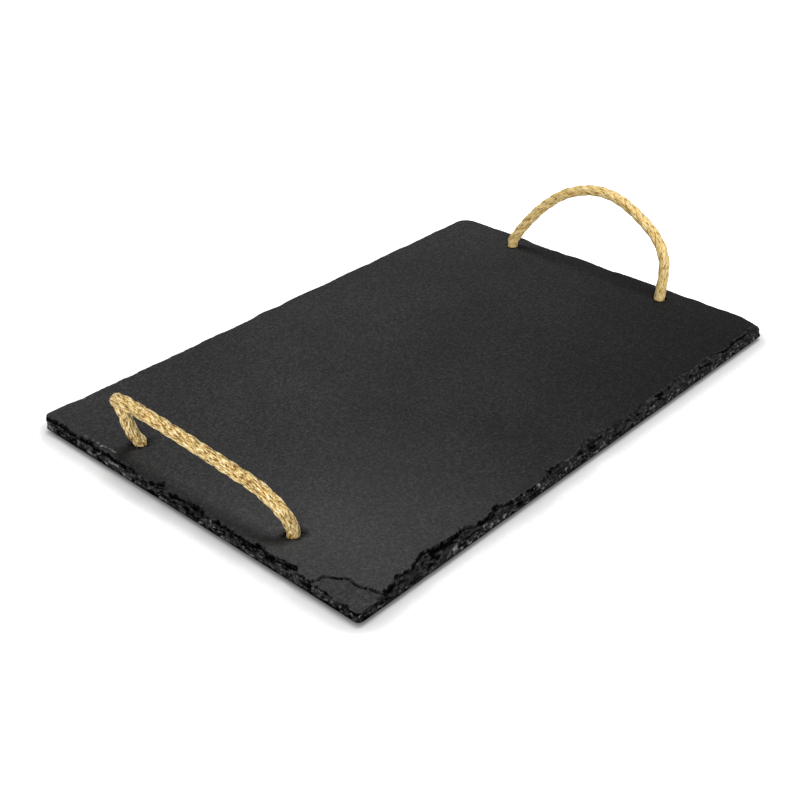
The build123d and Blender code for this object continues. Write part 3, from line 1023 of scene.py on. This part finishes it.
def slab_wall(outer, ways, rim, edge_z):
    """The broken wall, in rows from the top edge down to a last narrow one at the lower edge, painted dark as
    shade: each bed is set back by its own noise along the edge, less towards the base, and further in a
    cleft."""
    base_outer, _ = outline_ring(0, base_radii)
    around = outer[:, 0] - outer[:, 1]
    sway = noise(outer, "bed_sway")
    broad_share = front_share(rim) * (
        broad_facet + broad_facet_gain * smooth_step(outer[:, 1], *broad_facet_run))
    rows, painted_shades, bruises = [], [], []
    for share_down in wall_shares:
        z = edge_z + (slab_bottom_z - edge_z) * share_down
        fall = slab_top_z - z
        by_bed = np.stack([around, np.searchsorted(bed_depths, fall + sway)], -1)
        by_fall = np.stack([around, fall], -1)
        cleft = clefts(outer, fall, np.full(len(outer), wall_inset)) * (share_down < 1)
        setback = noise(by_bed, "bed_setback") + noise(by_bed, "bed_nicks")
        setback = setback * (1 - wall_taper * share_down) + wall_cleft_depth * cleft
        place = outer + share_down * (base_outer - outer) + ways * setback[:, None]
        rows.append(np.column_stack([rim if share_down == 0 else place, z]))
        pale = pale_facet * patches(by_fall, "pale_facets")
        pale = np.maximum(pale, broad_share * patches(by_fall, "broad_facets"))
        # Clefts get painted shade; elsewhere the wall is darker in patches at random.
        shade = np.maximum(cleft, noise(by_fall, "wall_shade"))
        # At its foot the wall is painted dark, as shade at the lower edge.
        if share_down > dark_foot_share:
            pale, shade = np.zeros(len(outer)), np.full(len(outer), foot_painted_shade)
        painted_shades.append(shade)
        bruises.append(np.maximum(pale, scuff_share(rows[-1])))
    points = np.vstack(rows)
    marks = {"painted_shade": np.concatenate(painted_shades), "bruise": np.concatenate(bruises)}
    faces = grid_faces(len(rows), len(outer))[:, ::-1]
    return points, [faces], {"broken": np.ones(len(points)), **marks}


def slab_base(edge, ways):
    """The flat underside round its recesses, with a ring of points close to its edge and to each recess,
    which keeps their painted shade narrow."""
    half = slab_half - band_width - base_margin
    below = scatter(base_spacing, -half, half, scatter_seeds["base"])
    below = clear_of_holes(below, recess_radius + recess_margin)
    collars = [circle(place, recess_radius + collar_width) for place in hole_places.values()]
    recesses = [circle(place, recess_radius) for place in hole_places.values()]
    flat, triangles = fill_flat(edge, recesses, np.vstack([below, edge + collar_width * ways, *collars]))
    points = np.column_stack([flat, np.full(len(flat), slab_bottom_z)])
    return points, [triangles[:, ::-1]], {mark: np.zeros(len(flat)) for mark in hole_marks}


def hole_lining(place, mouth):
    """A rope hole from its spalled mouth down to its recess, and the recess down to the underside."""
    mouth_z = top_height(mouth)[0]
    rings = [
        (mouth, mouth_z),
        *[(circle(place, hole_radius + wider), mouth_z - depth) for wider, depth in hole_flare],
        (circle(place, hole_radius), np.full(hole_ring, recess_top_z)),
        (circle(place, recess_radius), np.full(hole_ring, recess_top_z)),
        (circle(place, recess_radius), np.full(hole_ring, slab_bottom_z)),
    ]
    points = np.vstack([np.column_stack(ring) for ring in rings])
    # A hole's lining is darkened with painted shade.
    marks = {mark: np.full(len(points), value) for mark, value in hole_marks.items()}
    return points, [grid_faces(len(rings), hole_ring)], marks


def make_slab(material):
    """The slab as one closed skin: its top, its broken wall, its underside and its holes, whose shared rims
    are merged."""
    outer, ways = outline_ring(0, corner_radii)
    rim = slab_rim(outer, ways)
    mouths = {name: hole_mouth(name) for name in hole_places}
    top = slab_top(rim, mouths)
    wall = slab_wall(outer, ways, rim, top[0][:len(rim), 2])
    base = slab_base(wall[0][-len(rim):, :2], ways)
    linings = [hole_lining(place, mouths[name]) for name, place in hole_places.items()]
    slab = make_piece("slab", [top, wall, base, *linings], material)
    skin = bmesh.new()
    skin.from_mesh(slab.data)
    bmesh.ops.remove_doubles(skin, verts=skin.verts, dist=weld_reach * MM)
    bmesh.ops.recalc_face_normals(skin, faces=skin.faces)
    skin.to_mesh(slab.data)
    skin.free()
    slab.data.set_sharp_from_angle(angle=sharp_angle)
    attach(slab, "board")
    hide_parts("slate_slab")
    return slab


def riven_slate():
    """Black slate split along its bed: matt charcoal with a fine grain. Where it was dressed the fresh
    stone is pale on the bruised edges, and painted shade makes it black in the breaks."""
    material, add = new_material("riven_slate")
    place = add("TexCoord", "Object")
    broken, painted_shade, bruise = [
        add("Attribute", "Fac", settings={"attribute_name": name}) for name in hole_marks]
    # Mineral grain of some 1.1 mm, clouds of 60 mm where the bed changes, and facets of the fresh break,
    # some 2 mm across.
    grain, cloud, facet = [
        add("TexNoise", "Fac", {
            "Vector": place, "Scale": 1 / (size * MM), "Detail": detail, "Roughness": roughness})
        for size, detail, roughness in ((1.1, 2.0, 0.7), (60, 4.0, 0.5), (2.2, 3.0, 0.65))
    ]
    tone = add("Mix", MIXED_NUMBER, {
        FACTOR: 0.18, FIRST_NUMBER: grain, SECOND_NUMBER: cloud}, {"data_type": "FLOAT"})
    bed = add("ValToRGB", "Color", {"Fac": tone}, stops=[
        (0.2, "#1d1d1d"), (0.8, "#4c4c4c"), (0.5, "#313131")])
    fresh = add("ValToRGB", "Color", {"Fac": facet}, stops=[
        (0.3, "#171717"), (0.72, "#4a4a4a"), (0.5, "#292929")])
    # Beds of some 0.35 mm that show as dark lines along the break.
    layers = add("Mapping", "Vector", {
        "Vector": place, "Scale": (1 / (2.5 * MM), 1 / (2.5 * MM), 1 / (0.35 * MM))})
    bedding = add("TexNoise", "Fac", {"Vector": layers, "Scale": 1.0, "Detail": 3.0, "Roughness": 0.65})
    lines = add("ValToRGB", "Color", {"Fac": bedding}, stops=[(0.36, "#404040"), (0.46, "#ffffff")])
    lined = add("Mix", MIXED, {FACTOR: 1.0, FIRST: fresh, SECOND: lines}, MULTIPLY)
    # Painted light makes the bed paler by the front right hole and painted shade darker towards the rear
    # right corner.
    for centre, reach, painted_tone, share in painted_light_and_shade:
        spread = add("Mapping", "Vector", {
            "Vector": place, "Location": [part * MM for part in centre], "Scale": [reach * MM] * 3,
        }, {"vector_type": "TEXTURE"})
        patch = add("TexGradient", "Fac", {"Vector": spread}, {"gradient_type": "SPHERICAL"})
        faded = add("MapRange", 0, {"Value": patch, "To Max": share}, {"interpolation_type": "SMOOTHSTEP"})
        bed = add("Mix", MIXED, {FACTOR: faded, FIRST: bed, SECOND: linear(painted_tone)}, MIX)
    stone = add("Mix", MIXED, {FACTOR: broken, FIRST: bed, SECOND: lined}, MIX)
    # Painted shade darkens steep places, hollows, clefts, rope holes and the foot of the wall.
    dark = add("ValToRGB", "Color", {"Fac": painted_shade}, stops=[
        (0.0, "#ffffff"), (0.9, "#000000"), (0.5, "#5a5a5a")])
    shaded = add("Mix", MIXED, {FACTOR: 1.0, FIRST: stone, SECOND: dark}, MULTIPLY)
    fleck = add("MapRange", 0, {"Value": facet, "From Min": 0.42, "From Max": 0.6})
    bruised = add("Math", 0, {0: bruise, 1: fleck}, {"operation": "MULTIPLY"})
    colour = add("Mix", MIXED, {FACTOR: bruised, FIRST: shaded, SECOND: linear("#9a9a9a")}, MIX)
    fine = add("Bump", "Normal", {"Height": grain, "Strength": 0.5, "Distance": 0.12 * MM})
    coarse = add("Bump", "Normal", {
        "Height": facet, "Strength": broken, "Distance": 0.28 * MM, "Normal": fine})
    shader = add("BsdfPrincipled", "BSDF", {
        "Base Color": colour, "Roughness": 0.62, "Specular IOR Level": 0.01, "Normal": coarse})
    add("OutputMaterial", inputs={"Surface": shader})
    return material


def moulded_rubber():
    """Black rubber, moulded: matt, with a fine pebbled skin."""
    material, add = new_material("moulded_rubber")
    place = add("TexCoord", "Object")
    # Pebbles of some 0.5 mm, and a dusty bloom in patches of 4 mm.
    pebble = add("TexVoronoi", "Distance", {"Vector": place, "Scale": 1 / (0.5 * MM)})
    bloom = add("TexNoise", "Fac", {
        "Vector": place, "Scale": 1 / (4 * MM), "Detail": 4.0, "Roughness": 0.6})
    colour = add("ValToRGB", "Color", {"Fac": bloom}, stops=[(0.35, "#1a1a1a"), (0.7, "#2c2c2b")])
    bump = add("Bump", "Normal", {"Height": pebble, "Strength": 0.4, "Distance": 0.1 * MM})
    shader = add("BsdfPrincipled", "BSDF", {
        "Base Color": colour, "Roughness": 0.7, "IOR": 1.52, "Specular IOR Level": 0.4, "Normal": bump})
    add("OutputMaterial", inputs={"Surface": shader})
    return material


def seen_share(add):
    """1 for what the eye sees, straight on or in a glossy or clear surface, and 0 for the light that a
    surface only casts."""
    paths = add("LightPath").outputs
    seen = paths["Is Camera Ray"]
    for kind in ("Is Glossy Ray", "Is Transmission Ray"):
        seen = add("Math", 0, {0: seen, 1: paths[kind]}, {"operation": "MAXIMUM"})
    return seen


def make_floor():
    """A wide white floor that keeps the object's shadow, lifted to full white where the eye sees it."""
    material, add = new_material("white_floor")
    # Shade gathers under the slab's edge and fades out some 18 mm from it.
    near = add("AmbientOcclusion", "AO", {"Distance": 18 * MM}, {"samples": 16})
    shade = add("ValToRGB", "Color", {"Fac": near}, stops=[
        (0.1, "#2a2a2a"), (0.97, "#ffffff"), (0.3, "#6a6a6a"), (0.5, "#8f8f8f"), (0.69, "#9e9e9e"),
        (0.82, "#a9a9a9"), (0.93, "#b5b5b5")])
    glow = add("Emission", 0, {"Color": shade, "Strength": seen_share(add)})
    matt = add("BsdfDiffuse", 0, {"Color": shade})
    both = add("AddShader", 0, {0: matt, 1: glow})
    # From below the floor is clear, so that the underside can be seen.
    below = add("NewGeometry", "Backfacing")
    clear = add("BsdfTransparent", 0)
    surface = add("MixShader", 0, {0: below, 1: both, 2: clear})
    add("OutputMaterial", inputs={"Surface": surface})
    corners = floor_half_width * np.array([(-1, -1, 0), (1, -1, 0), (1, 1, 0), (-1, 1, 0)])
    floor = make_piece("floor", [(corners, [np.array([[0, 1, 2, 3]])], {})], material, smooth=False)


def light_scene():
    """A dim white surround, one broad lamp high above, and a low broad fill from the front."""
    world = bpy.data.worlds.new("white_surround")
    bpy.context.scene.world = world
    world.use_nodes = True
    world.node_tree.nodes.clear()
    add = functools.partial(add_node, world.node_tree)
    strength = add("MapRange", 0, {"Value": seen_share(add), "To Min": surround_light, "To Max": 1.0})
    surround = add("Background", 0, {"Color": linear("#ffffff"), "Strength": strength})
    add("OutputWorld", inputs={"Surface": surround})
    for name, (place, size, energy) in lamps.items():
        lamp = bpy.data.lights.new(name, "AREA")
        lamp.shape = "DISK"
        lamp.size = size
        lamp.energy = energy
        holder = bpy.data.objects.new(name, lamp)
        holder.location = place
        holder.rotation_euler = (-Vector(place)).to_track_quat("-Z", "Y").to_euler()
        bpy.context.scene.collection.objects.link(holder)


def place_camera():
    """The photograph's view."""
    camera = bpy.data.cameras.new("photo_view")
    camera.lens = camera_lens
    holder = bpy.data.objects.new("photo_view", camera)
    holder.location = camera_place
    holder.rotation_euler = (math.pi / 2 - camera_pitch, 0, -camera_yaw)
    bpy.context.scene.collection.objects.link(holder)
    bpy.context.scene.camera = holder


place_camera()
make_floor()
light_scene()
bpy.context.scene.view_settings.view_transform = "Standard"
for end in ends:
    rope_material = sisal_rope(end)
    knots = {side: make_knot(f"{end}_{side}", rope_material) for side in sides}
    make_rope(end, rope_material)
make_slab(riven_slate())
foot_material = moulded_rubber()
for name in hole_places:
    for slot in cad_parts[f"{name}_foot"].material_slots:
        slot.material = foot_material
